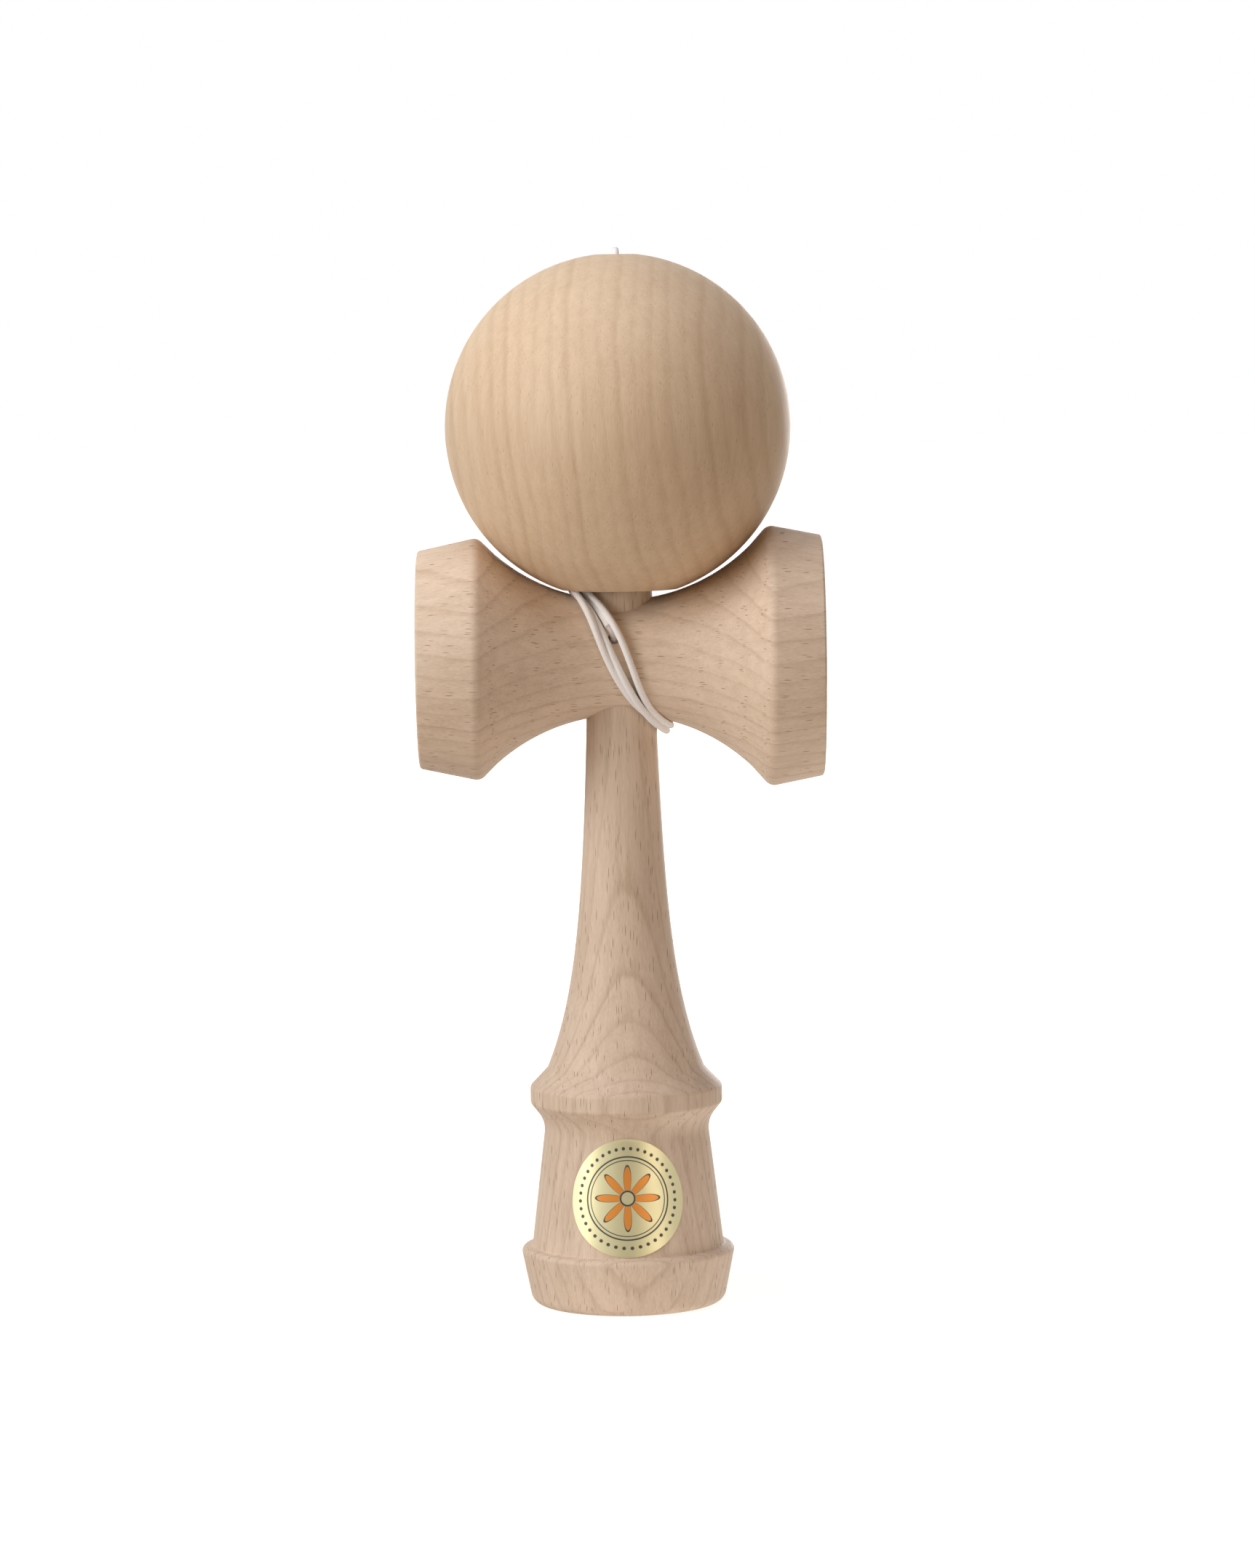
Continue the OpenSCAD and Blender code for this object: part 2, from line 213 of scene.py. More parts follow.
def colour(r, g, b):
    return (r, g, b, 1.0)


def finish(name):
    """New material, with its shader and the socket wrapper that builds on its tree."""
    material = bpy.data.materials.new(name)
    material.use_nodes = True
    return material, material.node_tree.nodes["Principled BSDF"], Shade(material.node_tree)


def feed(shader, **values):
    """Links wrapped sockets to the shader's inputs, whose names are written with underscores."""
    for name, value in values.items():
        value.tree.links.new(value.socket, shader.inputs[name.replace("_", " ")])


def bare_wood(name, grain, pith, ring_gap, bend, line_power, line_fall, line_share,
              pale, line, pore, pore_size, pore_share):
    """Sanded wood, as if cut from a block. The distance from the pith line, bent by slow noise, over the
    gap between rings gives a ring's number and the place in it. A power of that place, which falls off
    again at the ring's end, is its dark line. Pores are the middles of cells of the given size, and a
    share of them is dark."""
    material, shader, base = finish(name)
    place = base.node("ShaderNodeTexCoord", {}, {}, 3)

    def stretched(across, along):
        """Place in units of these millimetres across and along the grain."""
        waves = tuple(1 / (MM * (along if abs(g) > 0.5 else across)) for g in grain)
        return base.vector("MULTIPLY", place, waves)

    drift = stretched(16, 70).noise(1.0) - 0.5
    waver = stretched(2.5, 14).noise(2.0) - 0.5
    out = base.vector("CROSS_PRODUCT", base.vector("SUBTRACT", place, pith), grain)
    depth = base.vector("LENGTH", out, output=1) / ring_gap + drift * bend + waver * 0.25
    ring_number = base.math("FLOOR", depth)
    strength = base.node("ShaderNodeTexWhiteNoise", {"noise_dimensions": "1D"}, {"W": ring_number})
    in_ring = base.math("FRACT", depth)
    ring_line = in_ring**line_power * in_ring.between(1.0, line_fall) * (strength * 0.6 + 0.4) * line_share

    cells = {"Vector": base.vector("DIVIDE", place, pore_size), "Scale": 1.0}
    cell_colour = base.node("ShaderNodeTexVoronoi", {}, cells, 1)
    pore_kind = base.node("ShaderNodeSeparateColor", {}, {0: cell_colour})
    near_pore = base.node("ShaderNodeTexVoronoi", {}, cells).between(0.27, 0.13)
    pore_mark = near_pore * pore_kind.between(1 - pore_share, 1.5 - pore_share)

    fibre = stretched(0.2, 3).noise(3.0, 0.65) - 0.5
    streak = stretched(1.1, 24).noise(2.0) - 0.5
    mottle = stretched(8, 22).noise(2.0) - 0.5
    wood = base.mix(0.2 + ring_line + fibre * 1.1 + streak * 0.7 + mottle * 0.6, pale, line)
    feed(
        shader,
        Base_Color=base.mix(pore_mark, wood, pore),
        Roughness=0.58 - fibre * 0.2 + pore_mark * 0.2,
        Normal=base.node(
            "ShaderNodeBump",
            {},
            {"Strength": 0.4, "Distance": 0.06 * MM, "Height": fibre - pore_mark * 1.2 - ring_line * 0.3},
        ),
    )
    shader.inputs["Specular IOR Level"].default_value = 0.3
    return material


def grip_r(z):
    """Radius of the grip: the straight taper of the neck, and a flare that dies away up to the neck."""
    left = np.exp(-(z - flare_z) / flare_fall) - math.exp(-(neck_z - flare_z) / flare_fall)
    whole = 1 - math.exp(-(neck_z - flare_z) / flare_fall)
    return neck_r - neck_taper * (z - neck_z) + flare_r * left / whole


grip_z = np.linspace(flare_z, neck_z, 60)
ken_outline = rounded([
    *dish(base_cup_r, base_cup_depth),
    (foot_r, 0, foot_round),
    (base_lip_r, base_lip_z, lip_round),
    (waist_low_r, waist_low_z, base_cove_round),
    (waist_top_r, waist_top_z, collar_cove_round),
    (collar_r, collar_low_z, lip_round),
    (collar_r, collar_top_z, lip_round),
    *np.stack([grip_r(grip_z), grip_z, 0 * grip_z], axis=-1),
    (neck_r - neck_taper * (spike_root_z - neck_z), spike_root_z, spike_root_round),
    (spike_tip_r, spike_tip_z, spike_tip_r),
    (0, spike_tip_z, 0),
])
ken = skin("handle", turned(ken_outline))
ken.data.materials.append(bare_wood(
    "handle_beech",
    grain=(0, 0, 1),
    pith=(-3.8 * MM, 70 * MM, 0),
    ring_gap=1.8 * MM,
    bend=1.0,
    line_power=7,
    line_fall=0.84,
    line_share=1.4,
    pale=colour(0.755, 0.60, 0.465),
    line=colour(0.515, 0.37, 0.255),
    pore=colour(0.39, 0.26, 0.16),
    pore_size=(0.28 * MM, 1.5 * MM, 5 * MM),
    pore_share=0.75,
))
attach(ken, "ken")
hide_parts("ken")

# Seal. A round of pale gold foil on a sticky film, printed in black and orange and pressed onto the waist,
# so that it bends round it. It ends just over the base's ledge.

seal_r = 10.2 * MM
seal_z = 20.7 * MM
seal_bend_r = 15.66 * MM
seal_thickness = 0.12 * MM
glue_gap = 0.02 * MM
seal_sides = 144
front_rows = 40
back_rows = 12


def wrapped(share, lift):
    """Points of the seal at shares of its radius, lifted off the wood: the way round the waist is
    the angle, and the way up finds the handle's own radius at that height."""
    a = np.linspace(0, 2 * np.pi, seal_sides + 1)
    around = np.outer(share * seal_r, np.cos(a))
    up = np.outer(share * seal_r, np.sin(a))
    side = ken_outline[(ken_outline[:, 1] > base_lip_z) & (ken_outline[:, 1] < collar_low_z)]
    r = np.interp(seal_z + up, side[:, 1], side[:, 0]) + np.asarray(lift)[:, None]
    angle = around / seal_bend_r
    points = np.stack([r * np.sin(angle), -r * np.cos(angle), seal_z + up], axis=-1)
    return points, np.stack([around, up], axis=-1) / (2 * seal_r) + 0.5


seal_shares = np.concatenate([np.linspace(0, 1, front_rows), np.linspace(1, 0, back_rows)])
seal_lift = np.repeat([glue_gap + seal_thickness, glue_gap], [front_rows, back_rows])
seal = skin("foil_seal_disc", *wrapped(seal_shares, seal_lift))


def printed_foil():
    """Pale gold foil under a print: with p the way from the centre, as a share of the radius, and a the
    angle, rings are narrow steps in p, dots repeat in a, and petals end at a wave of a."""
    material, shader, base = finish("printed_foil")
    uv = base.node("ShaderNodeTexCoord", {}, {}, 2)
    across = base.node("ShaderNodeSeparateXYZ", {}, {0: uv}) * 2 - 1
    up = base.node("ShaderNodeSeparateXYZ", {}, {0: uv}, 1) * 2 - 1
    p = (across * across + up * up) ** 0.5
    a = base.math("ARCTAN2", up, across)

    def ring(radius, half_width):
        return base.math("ABSOLUTE", p - radius).between(half_width + 0.006, half_width)

    petals = 8
    petal_edge = 0.33 + 0.22 * base.math("COSINE", a * petals)
    out_of_eye = p.between(0.125, 0.145)
    petal = (p - petal_edge).between(0.01, -0.01) * out_of_eye
    outline = base.math("ABSOLUTE", p - petal_edge).between(0.022, 0.012) * out_of_eye
    dots = 40
    dots_p = 0.84
    turn = a * (dots / (2 * math.pi))
    along = (base.math("FRACT", turn) - 0.5) * (dots_p * 2 * math.pi / dots)
    dot = ((along * along + (p - dots_p) * (p - dots_p)) ** 0.5).between(0.034, 0.026)
    print_lines = base.math(
        "MAXIMUM",
        base.math("MAXIMUM", ring(0.70, 0.010), ring(0.64, 0.005)),
        base.math("MAXIMUM", base.math("MAXIMUM", outline, dot), ring(0.12, 0.012)),
    )
    place = base.node("ShaderNodeTexCoord", {}, {}, 3)
    crinkle = base.vector("MULTIPLY", place, (400.0, 400.0, 250.0)).noise(3.0) - 0.5
    foil = base.mix(crinkle * 0.6 + 0.5, colour(0.57, 0.52, 0.315), colour(0.51, 0.465, 0.265))
    inked = base.mix(petal, foil, colour(0.66, 0.24, 0.033))
    feed(
        shader,
        Base_Color=base.mix(print_lines, inked, colour(0.05, 0.05, 0.04)),
        Metallic=0.72 - petal * 0.35 - print_lines * 0.4,
        Roughness=0.38 + crinkle * 0.1 + print_lines * 0.1,
        Normal=base.node("ShaderNodeBump", {}, {"Strength": 0.3, "Distance": 0.1 * MM, "Height": crinkle}),
    )
    return material


seal.data.materials.append(printed_foil())
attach(seal, "ken")
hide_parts("foil_seal")

# Cross-piece. One piece of beech, turned with the grain along it to a waisted form with a cup in either
# end, then bored through for the neck and drilled for the string, with a pocket inside for its knot.

cross_z = 113.45 * MM
saddle_r = 10.05 * MM
rim_x = 35.2 * MM
big_rim_r = 20.95 * MM
big_mouth_r = 19.5 * MM
big_depth = 9.3 * MM
big_shoulder_r = 22.8 * MM
big_shoulder_x = 25.8 * MM
small_rim_r = 18.95 * MM
small_mouth_r = 17.6 * MM
small_depth = 8.8 * MM
small_shoulder_r = 21.2 * MM
small_shoulder_x = 24.7 * MM
shoulder_round = 2 * MM
rim_round = 0.6 * MM
arc_share = 0.88
bore_gap = 0.05 * MM
string_hole_x = 1.15 * MM
string_hole_angle = math.radians(23)
string_hole_r = 1.1 * MM
pocket_r = 1.7 * MM
pocket_end_r = 8.7 * MM
bore_over = 5 * MM
hole_over = 2 * MM


def saddle_r_at(x):
    """Radius of the saddle: from the middle to each shoulder, an arc that starts along the cross-piece."""
    reach = np.where(x > 0, big_shoulder_x, small_shoulder_x)
    rise = np.where(x > 0, big_shoulder_r, small_shoulder_r) - saddle_r
    arc_r = (reach**2 + rise**2) / (2 * rise)
    return saddle_r + arc_r - np.sqrt(arc_r**2 - x**2)


def along_x(grid):
    """Points turned about Z, laid along the cross-piece."""
    return np.stack([grid[..., 2], grid[..., 1], cross_z - grid[..., 0]], axis=-1)


def along_string_hole(grid):
    """Points turned about Z, with Z laid along the string hole, out through the cross-piece's front."""
    c, s = math.cos(string_hole_angle), math.sin(string_hole_angle)
    x, y, z = np.moveaxis(grid, -1, 0)
    return np.stack([x - string_hole_x, s * y - c * z, c * y + s * z + cross_z], axis=-1)


def rod(*ends):
    """Outline of a solid rod or cone through (radius, height) ends, closed on the axis."""
    ends = np.array(ends)
    return np.concatenate([[[0, ends[0, 1]]], ends, [[0, ends[-1, 1]]]])


def cut(piece, cutter):
    """Takes the cutter's solid out of the piece, and the cutter out of the scene."""
    tool = piece.modifiers.new("cut", "BOOLEAN")
    tool.object = cutter
    tool.solver = "EXACT"
    graph = bpy.context.evaluated_depsgraph_get()
    piece.data = bpy.data.meshes.new_from_object(piece.evaluated_get(graph))
    piece.modifiers.clear()
    bpy.data.objects.remove(cutter)


saddle_share = np.linspace(-arc_share, arc_share, 90)
saddle_x = saddle_share * np.where(saddle_share > 0, big_shoulder_x, small_shoulder_x)
cross_outline = rounded([
    *dish(small_mouth_r, small_depth) - (0, rim_x, 0),
    (small_rim_r, -rim_x, rim_round),
    (small_shoulder_r, -small_shoulder_x, shoulder_round),
    *np.stack([saddle_r_at(saddle_x), saddle_x, 0 * saddle_x], axis=-1),
    (big_shoulder_r, big_shoulder_x, shoulder_round),
    (big_rim_r, rim_x, rim_round),
    *(dish(big_mouth_r, big_depth) * (1, -1, 1) + (0, rim_x, 0))[::-1],
])
cross_piece = skin("cross_piece_body", along_x(turned(cross_outline)))
bore_low_z = neck_z - bore_over
bore_top_z = spike_root_z + bore_over
cut(cross_piece, skin("bore", turned(rod(
    (neck_r - neck_taper * (bore_low_z - neck_z) + bore_gap, bore_low_z),
    (neck_r - neck_taper * (bore_top_z - neck_z) + bore_gap, bore_top_z),
))))
hole_outline = rod(
    (pocket_r, 0),
    (pocket_r, pocket_end_r),
    (string_hole_r, pocket_end_r),
    (string_hole_r, saddle_r + hole_over),
)
cut(cross_piece, skin("string_hole", along_string_hole(turned(hole_outline, sides=48))))
cross_piece.data.set_sharp_from_angle(angle=math.radians(crease_angle))
cross_piece.data.materials.clear()
cross_piece.data.materials.append(bare_wood(
    "cross_beech",
    grain=(1, 0, 0),
    pith=(0, 25 * MM, cross_z - 76 * MM),
    ring_gap=3.0 * MM,
    bend=0.9,
    line_power=7,
    line_fall=0.86,
    line_share=1.1,
    pale=colour(0.81, 0.645, 0.495),
    line=colour(0.55, 0.395, 0.27),
    pore=colour(0.38, 0.25, 0.15),
    pore_size=(3.6 * MM, 1.5 * MM, 0.3 * MM),
    pore_share=0.6,
))
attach(cross_piece, "cross_piece")
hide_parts("cross_piece")

# Ball. One piece of maple, turned to a sphere, with a wide blind hole from below for the spike and a thin
# hole with a countersink from above for the string. It is sanded and left bare.

ball_z = 153.65 * MM
ball_r = 30 * MM
spike_hole_r = 9.8 * MM
spike_hole_z = 171.35 * MM
mouth_bevel = 0.5 * MM
ball_string_hole_r = 1.4 * MM
countersink_r = 3.8 * MM
countersink_depth = 3 * MM

ball_top_z = ball_z + ball_r
# Angles from the top and from the bottom of the ball at which the countersink and the bevel cut its skin
slope = countersink_r / countersink_depth
top_angle = math.acos(
    slope * (ball_r - countersink_depth) / (ball_r * math.hypot(slope, 1))
) - math.atan(1 / slope)
mouth_depth = math.sqrt(ball_r**2 - spike_hole_r**2)
low_angle = math.pi / 4 + math.asin((spike_hole_r + mouth_bevel - mouth_depth) / (math.sqrt(2) * ball_r))
skin_angle = np.linspace(top_angle, math.pi - low_angle, 140)
countersink_end = (ball_string_hole_r, ball_top_z - countersink_depth + ball_string_hole_r / slope)
ball_outline = np.concatenate([
    [countersink_end],
    np.stack([ball_r * np.sin(skin_angle), ball_z + ball_r * np.cos(skin_angle)], axis=-1),
    [(spike_hole_r, ball_z - mouth_depth + mouth_bevel)],
    [(spike_hole_r, spike_hole_z)],
    [(ball_string_hole_r, spike_hole_z)],
    [countersink_end],
])
ball = skin("ball_body", turned(ball_outline, sides=240))
ball.data.materials.append(bare_wood(
    "ball_maple",
    grain=(-0.09, 0, 1),
    pith=(-180 * MM, 8 * MM, ball_z),
    ring_gap=2.8 * MM,
    bend=1.1,
    line_power=2.5,
    line_fall=0.6,
    line_share=1.35,
    pale=colour(0.775, 0.595, 0.41),
    line=colour(0.60, 0.42, 0.265),
    pore=colour(0.53, 0.365, 0.225),
    pore_size=(0.24 * MM, 0.7 * MM, 1.8 * MM),
    pore_share=0.45,
))
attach(ball, "ball")
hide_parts("ball")

# String. One fine braided cord: from its hole in the cross-piece it goes three times round the spike and
# the neck, over the saddle, then up behind the ball, through its string hole and the bead to a knot.

string_d = 1.2 * MM
string_r = string_d / 2
string_gap = 0.1 * MM
lying_gap = 0.15 * MM
string_step = 0.35 * MM
string_crease = 60
winding_points = 400
start_turn = string_hole_angle / (2 * math.pi)
hole_turn = 0.03
end_turn = 3.25
middle_turn = 1.75
loop_reach = 7.9 * MM
loop_bend = 1.9
loop_lift = 1.12 * MM
side_step = 1.22 * MM
pole_step = 0.72 * MM
hole_part = 0.75 * MM
riser_points = MM * np.array([
    (-8.2, 4, 125.65),
    (-7.6, 7.5, 124.2),
    (-6.9, 11, 124.6),
    (-6.2, 15, 127.2),
    (-5.4, 20, 130.4),
    (-4.4, 25, 136),
    (-3.2, 29, 143.4),
    (-2.2, 30.8, 151),
    (-1.4, 30.7, 158),
    (-0.8, 28.6, 166),
    (-0.4, 24.6, 173),
    (-0.2, 18.6, 178.8),
    (0, 11.6, 182.6),
    (0, 6.4, 183.8),
    (0, 3.6, 184.1),
    (0, 1.4, 182.8),
    (0, 0.2, 181.4),
    (0, 0, 180.6),
])
tail_points = MM * np.array([(0, 0, 179.6), (0, 0, 172), (0, 0, 164.15)])

# From where it meets the ball to near its top, the string lies along the ball's skin
on_ball = slice(6, 13)
lying_r = ball_r + string_r + lying_gap
ball_centre = np.array([0, 0, ball_z])
from_ball = riser_points[on_ball] - ball_centre
from_ball /= np.linalg.norm(from_ball, axis=1, keepdims=True)
riser_points[on_ball] = ball_centre + from_ball * lying_r


def loop_x(turn):
    """Place along the cross-piece at a turn, counted from the front and upwards: loops swing to the small
    cup's side over the top and to the big cup's side below, step on from loop to loop, and part at the
    string hole."""
    a = 2 * np.pi * turn
    swing = loop_reach * np.sin(a) / np.hypot(np.sin(a), loop_bend * np.cos(a))
    step = side_step * np.cos(a) ** 2 + pole_step * np.sin(a) ** 2
    side = np.where(turn < 0.5, 0, np.where(turn < 1.5, 1, -1))
    part = hole_part * np.maximum(0, np.cos(a - string_hole_angle)) ** 2
    return side * part - swing - step * (turn - middle_turn)


def winding(turn):
    """Points of the winding: the first quarter turn comes from the string hole, every other loop is lifted
    over the top and under the bottom, and all lie on the saddle."""
    t = np.minimum(1, (turn - start_turn) / (0.25 - start_turn))
    x = loop_x(turn) - (string_hole_x + loop_x(np.array(start_turn))) * (1 - t) ** 2 * (1 + 2 * t)
    a = 2 * np.pi * turn
    r = saddle_r_at(x) + string_r + string_gap + loop_lift * np.abs(np.sin(a)) * (np.floor(turn) % 2)
    return np.stack([x, -r * np.cos(a), cross_z + r * np.sin(a)], axis=-1)


def through(points, steps):
    """Smooth curve through points: between two of them, the cubic whose slopes there run along the line
    from the point before to the point after."""
    a, b, c, d = [points[k:len(points) - 3 + k, None] for k in range(4)]
    t = np.linspace(0, 1, steps, endpoint=False)[:, None]
    bend = (2 * a - 5 * b + 4 * c - d) * t**2 + (3 * b - a - 3 * c + d) * t**3
    curve = 0.5 * (2 * b + (c - a) * t + bend)
    return np.concatenate([curve.reshape(-1, 3), points[-2:-1]])


def evenly(path, step):
    """The same path with points an equal step apart."""
    way = np.concatenate([[0], np.cumsum(np.linalg.norm(np.diff(path, axis=0), axis=1))])
    new = np.linspace(0, way[-1], int(way[-1] / step))
    return np.stack([np.interp(new, way, path[:, k]) for k in range(3)], axis=-1), new


def tube(path, way, radius, sides=14):
    """Round tube along a path that never runs along X: at each point a circle stands square to the path,
    and either end is closed to a point. UV runs round it, and along it in millimetres."""
    ahead = np.gradient(path, axis=0)
    ahead /= np.linalg.norm(ahead, axis=1, keepdims=True)
    out = np.cross(ahead, (1, 0, 0))
    out /= np.linalg.norm(out, axis=1, keepdims=True)
    side = np.cross(ahead, out)
    a = np.linspace(0, 2 * np.pi, sides + 1)[:, None]
    r = np.pad(np.full(len(path), radius), 1)[:, None, None]
    path, out, side = [np.concatenate([p[:1], p, p[-1:]])[:, None] for p in (path, out, side)]
    grid = path + r * (np.cos(a) * out + np.sin(a) * side)
    way = np.concatenate([way[:1], way, way[-1:]]) / MM
    uv = np.stack(np.broadcast_arrays(a[:, 0] / (2 * np.pi), way[:, None]), axis=-1)
    return grid, uv


wound = winding(np.linspace(start_turn + hole_turn, end_turn, winding_points))
beyond_tail = tail_points[:1] * 2 - riser_points[-1:]
riser = through(np.concatenate([wound[-1:], riser_points, tail_points[:1], beyond_tail]), steps=12)
string_path, string_way = evenly(np.concatenate([wound[:-1], riser, tail_points[1:]]), string_step)
string = skin("string_cord", *tube(string_path, string_way, string_r), crease=string_crease)


def braided_cord():
    """Pale braid: two sets of strands wind round the cord in opposite directions, and where they cross, the
    product of their waves stands out as a small diamond. The colour is a little darker where that product
    is low, which is painted shade in the grooves between the strands."""
    material, shader, base = finish("braided_cord")
    uv = base.node("ShaderNodeTexCoord", {}, {}, 2)
    around = base.node("ShaderNodeSeparateXYZ", {}, {0: uv}) * 4
    along = base.node("ShaderNodeSeparateXYZ", {}, {0: uv}, 1) * 1.1
    strands = (around + along, around - along)
    one, other = [base.math("ABSOLUTE", base.math("SINE", strand * math.pi)) for strand in strands]
    braid_and_groove_shade = (one * other) ** 0.6
    place = base.node("ShaderNodeTexCoord", {}, {}, 3)
    soil = base.vector("MULTIPLY", place, (300.0, 300.0, 300.0)).noise(3.0) - 0.5
    # Base colour: a little darker where the braid sinks, which is painted shade in its grooves, and varied
    # by the soil noise
    feed(
        shader,
        Base_Color=base.mix(
            braid_and_groove_shade * 0.8 + soil * 0.3 + 0.1, colour(0.97, 0.94, 0.92), colour(1.0, 0.99, 0.98)
        ),
        Normal=base.node("ShaderNodeBump", {}, {"Strength": 0.3, "Distance": 0.06 * MM, "Height": braid_and_groove_shade}),
    )
    shader.inputs["Roughness"].default_value = 0.75
    shader.inputs["Sheen Weight"].default_value = 0.25
    return material


string_finish = braided_cord()
string.data.materials.append(string_finish)
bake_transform(string)
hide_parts("string_winding", "string_riser", "string_tail")

# Knots. The string ends in a tight stopper knot at both ends: one in the pocket of the cross-piece, with
# the short stretch that comes out of the string hole, and one under the bead in the ball.

knot_r = 1.4 * MM
knot_h = 1.6 * MM
knot_face_r = 8.6 * MM
end_knot_z = 164.15 * MM
knot_sides = 72
knot_rows = 40
start_step = 0.1 * MM


def knot():
    """Stopper knot along Z, from its blind end at 0: a barrel with three lobes that wind round it."""
    a = np.linspace(0, 2 * np.pi, knot_sides + 1)
    share = np.linspace(0, 1, knot_rows)[:, None]
    barrel = knot_r * (4 * share * (1 - share)) ** 0.32
    lobes = 1 - 0.16 * np.abs(np.sin(1.5 * a - 2.6 * share)) ** 3
    r = barrel * lobes
    h = np.broadcast_to(knot_h * share, r.shape)
    uv = np.stack(np.broadcast_arrays(a / (2 * np.pi), h / MM), axis=-1)
    return np.stack([r * np.cos(a), r * np.sin(a), h], axis=-1), uv


knot_grid, knot_uv = knot()
anchor_knot = skin("anchor_knot_body", along_string_hole(knot_grid + (0, 0, knot_face_r - knot_h)), knot_uv)
end_knot = skin("end_knot_body", knot_grid + (0, 0, end_knot_z - knot_h), knot_uv)
hole_play = string_hole_r - string_r
out_of_hole = along_string_hole(np.array([
    (0, 0, knot_face_r - knot_h / 2),
    (0, hole_play / 2, knot_face_r),
    (0, hole_play, saddle_r - string_r),
]))
into_winding = wound[2:12:4]
start_curve = through(np.concatenate([out_of_hole, into_winding]), steps=10)
start_path, start_way = evenly(start_curve, start_step)
string_start = skin("string_start", *tube(start_path, start_way, string_r), crease=string_crease)
for piece, body in ((anchor_knot, "cross_piece"), (string_start, "cross_piece"), (end_knot, "string_end")):
    piece.data.materials.append(string_finish)
    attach(piece, body)
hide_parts("anchor_knot")
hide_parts("end_knot")

# Bead. A small turned and waxed wooden bead on the string in the ball. It stops the string at the end of
# the spike hole, and the ball turns on it.

bead_r = 3.4 * MM
bead_hole_r = 0.8 * MM
bead_z = 167.65 * MM

bead_hole_angle = math.asin(bead_hole_r / bead_r)
bead_angle = np.linspace(bead_hole_angle, math.pi - bead_hole_angle, 40)
bead_outline = np.stack([bead_r * np.sin(bead_angle), bead_z + bead_r * np.cos(bead_angle)], axis=-1)
bead = skin("bead_body", turned(np.concatenate([bead_outline, bead_outline[:1]]), sides=72))
bead.data.materials.append(bare_wood(
    "bead_wood",
    grain=(0, 0, 1),
    pith=(0, 12 * MM, bead_z),
    ring_gap=0.8 * MM,
    bend=0.3,
    line_power=3,
    line_fall=0.8,
    line_share=1.0,
    pale=colour(0.62, 0.43, 0.25),
    line=colour(0.42, 0.27, 0.14),
    pore=colour(0.30, 0.18, 0.09),
    pore_size=(0.3 * MM, 0.3 * MM, 2 * MM),
    pore_share=0.4,
))
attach(bead, "string_end")
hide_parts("bead")

# Studio. A white floor that keeps the shadow, softboxes from the left, the top, the front right and behind,
# a grey card for the foil, and a camera in front of the object, a little above its middle.

floor_size = 6.0
floor_line = np.linspace(-floor_size, floor_size, 3)
floor = skin("floor", np.stack(np.meshgrid(floor_line, floor_line, [0], indexing="ij"), axis=-1)[:, :, 0])


def seen(base):
    """1 for rays that show the background: from the camera, in a reflection or through glass."""
    paths = [base.node("ShaderNodeLightPath", {}, {}, name) for name in (
        "Is Camera Ray", "Is Glossy Ray", "Is Transmission Ray")]
    return base.math("MAXIMUM", base.math("MAXIMUM", paths[0], paths[1]), paths[2])


def white_floor():
    """Matte. For rays that show the background it glows, up to full white away from the object, and for all
    others a patch on the right of the foot glows, which lights the object's lower right."""
    material, shader, base = finish("white_floor")
    place = base.node("ShaderNodeTexCoord", {}, {}, 3)
    away = base.vector("LENGTH", place, output=1)
    patch_place = (0.08, -0.03, 0)
    from_patch = base.vector("DISTANCE", place, patch_place, output=1)
    shown = seen(base)
    background_glow = 0.84 + 0.16 * away.between(0.08, 0.35)
    patch_glow = from_patch.between(0.12, 0.05) * 0.85
    glow = shown * background_glow + (1 - shown) * patch_glow
    shader.inputs["Base Color"].default_value = colour(0.40, 0.33, 0.27)
    shader.inputs["Roughness"].default_value = 0.9
    shader.inputs["Emission Strength"].default_value = 1.0
    feed(shader, Emission_Color=base.mix(glow, colour(0, 0, 0), colour(1, 1, 1)))
    return material


floor.data.materials.append(white_floor())

world = bpy.data.worlds.new("studio")
world.use_nodes = True
bpy.context.scene.world = world
sky = Shade(world.node_tree)
background = world.node_tree.nodes["Background"]
sky_shown = seen(sky)
ambient = 0.06
feed(
    background,
    Color=sky.mix(sky_shown, colour(1.0, 0.64, 0.38), colour(1, 1, 1)),
    Strength=ambient + (1 - ambient) * sky_shown,
)

subject = Vector((0, 0, 0.095))


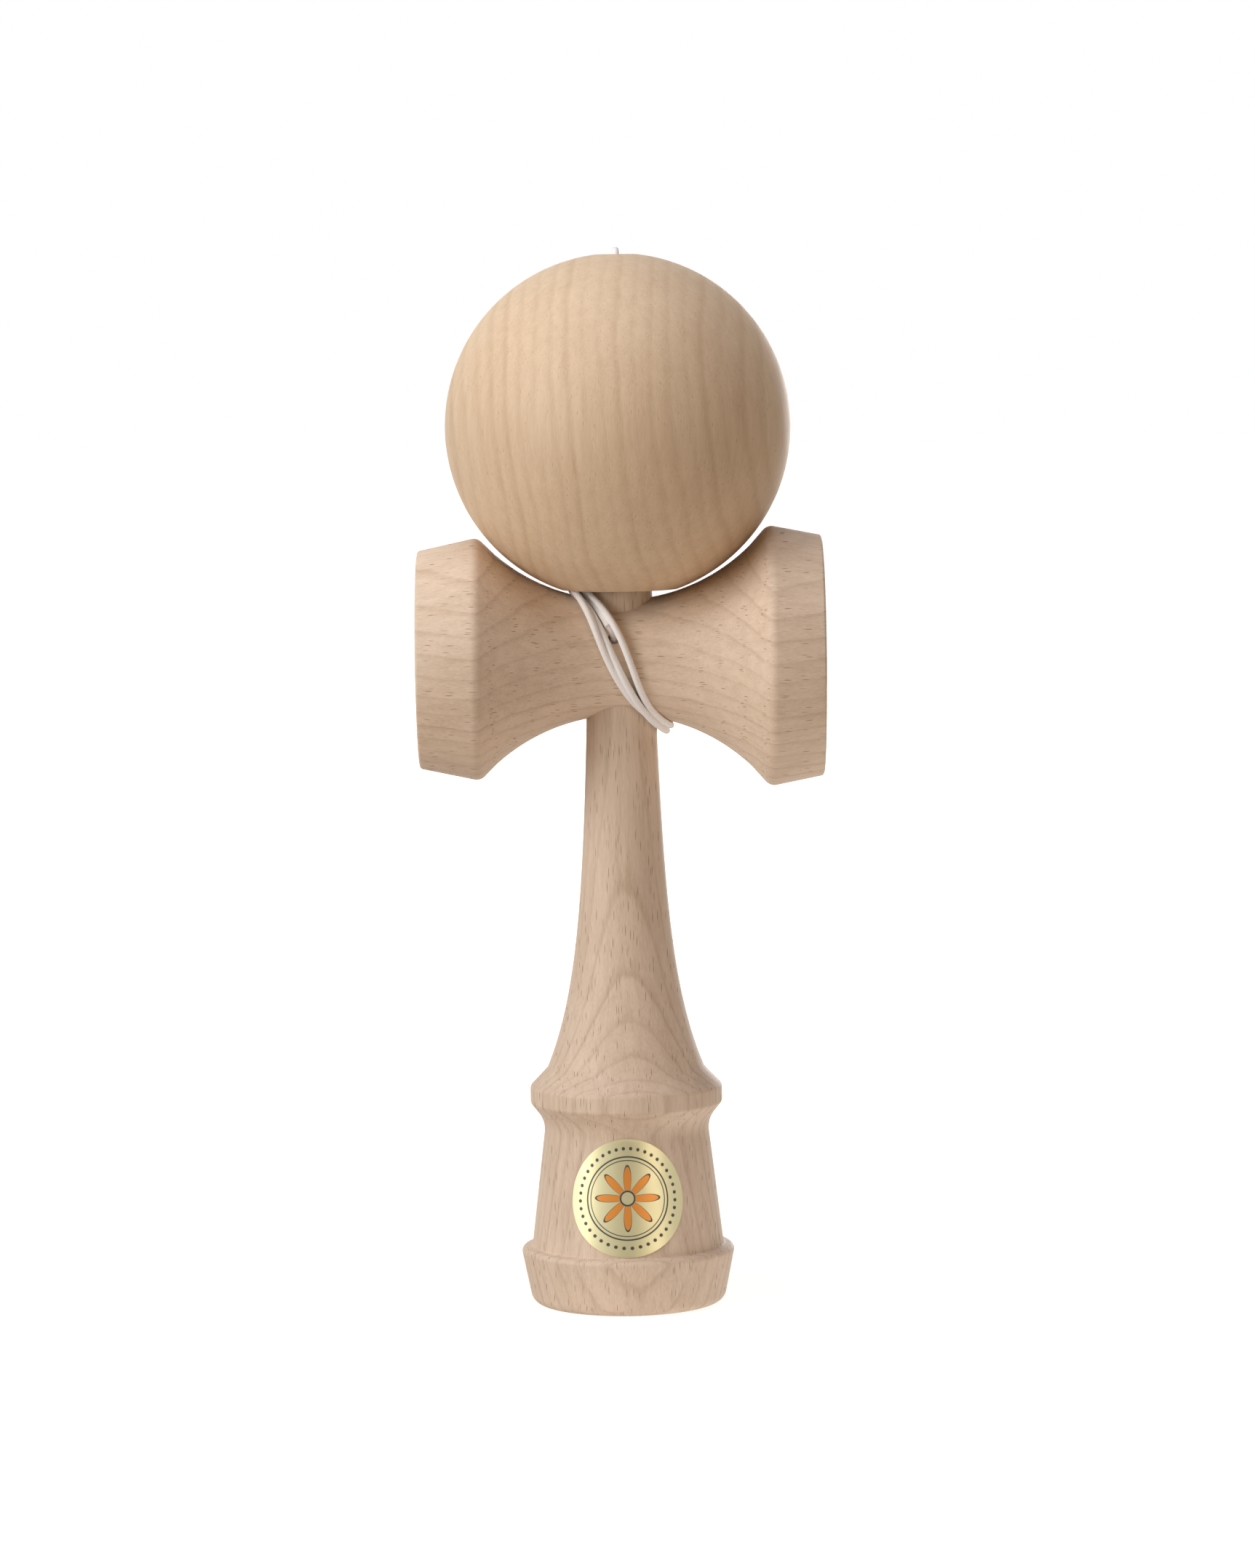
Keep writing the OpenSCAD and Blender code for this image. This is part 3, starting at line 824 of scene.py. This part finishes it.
def softbox(name, place, width, height, power, tint=(1, 1, 1)):
    """Large rectangular lamp that faces the object."""
    lamp = bpy.data.lights.new(name, "AREA")
    lamp.shape = "RECTANGLE"
    lamp.size = width
    lamp.size_y = height
    lamp.energy = power
    lamp.color = tint
    holder = bpy.data.objects.new(name, lamp)
    holder.location = place
    holder.rotation_euler = (subject - Vector(place)).to_track_quat("-Z", "Y").to_euler()
    bpy.context.scene.collection.objects.link(holder)


softbox("key", (-1.3, -0.7, 0.65), 0.9, 1.1, 17.4)
softbox("top", (-0.1, -0.25, 1.3), 0.8, 0.8, 8.0, tint=(0.92, 0.93, 1.0))
softbox("fill", (0.65, -1.1, 0.1), 0.7, 0.3, 2.5, tint=(1.0, 0.82, 0.66))
softbox("back", (0.35, 1.5, 0.18), 0.8, 0.3, 9.0)

# Grey card in front of the camera, which shows only in reflections, as a darker band in the foil
card_x = 0.09
card_y = -0.9
card_half_w = 0.3
card_top = 0.9
card = skin("grey_card", np.array([
    [(card_x - card_half_w, card_y, 0), (card_x + card_half_w, card_y, 0)],
    [(card_x - card_half_w, card_y, card_top), (card_x + card_half_w, card_y, card_top)],
], float))
grey, grey_shader, _ = finish("grey_card")
grey_shader.inputs["Base Color"].default_value = colour(0, 0, 0)
grey_shader.inputs["Emission Color"].default_value = colour(0.18, 0.18, 0.18)
grey_shader.inputs["Emission Strength"].default_value = 1.0
card.data.materials.append(grey)
card.visible_camera = False
card.visible_diffuse = False
card.visible_transmission = False
card.visible_shadow = False

# The photograph's scale at the handle's axis, the point that is in its middle, the tilt of the camera down
# to that point, and the lean of the handle in the picture
photo_h = 2156
px_per_mm = 7.87
camera_distance = 0.95
middle = Vector((0.0009, 0, 0.0913))
tilt = math.radians(5.0)
lean = math.radians(0.736)

lens = bpy.data.cameras.new("camera")
lens.sensor_width = 36
lens.lens = px_per_mm / MM * camera_distance * lens.sensor_width / photo_h
camera = bpy.data.objects.new("camera", lens)
camera.matrix_world = (
    Matrix.Translation(middle)
    @ Matrix.Rotation(math.pi / 2 - tilt, 4, "X")
    @ Matrix.Rotation(-lean, 4, "Z")
    @ Matrix.Translation((0, 0, camera_distance))
)
bpy.context.scene.collection.objects.link(camera)
bpy.context.scene.camera = camera
bpy.context.scene.view_settings.view_transform = "Standard"
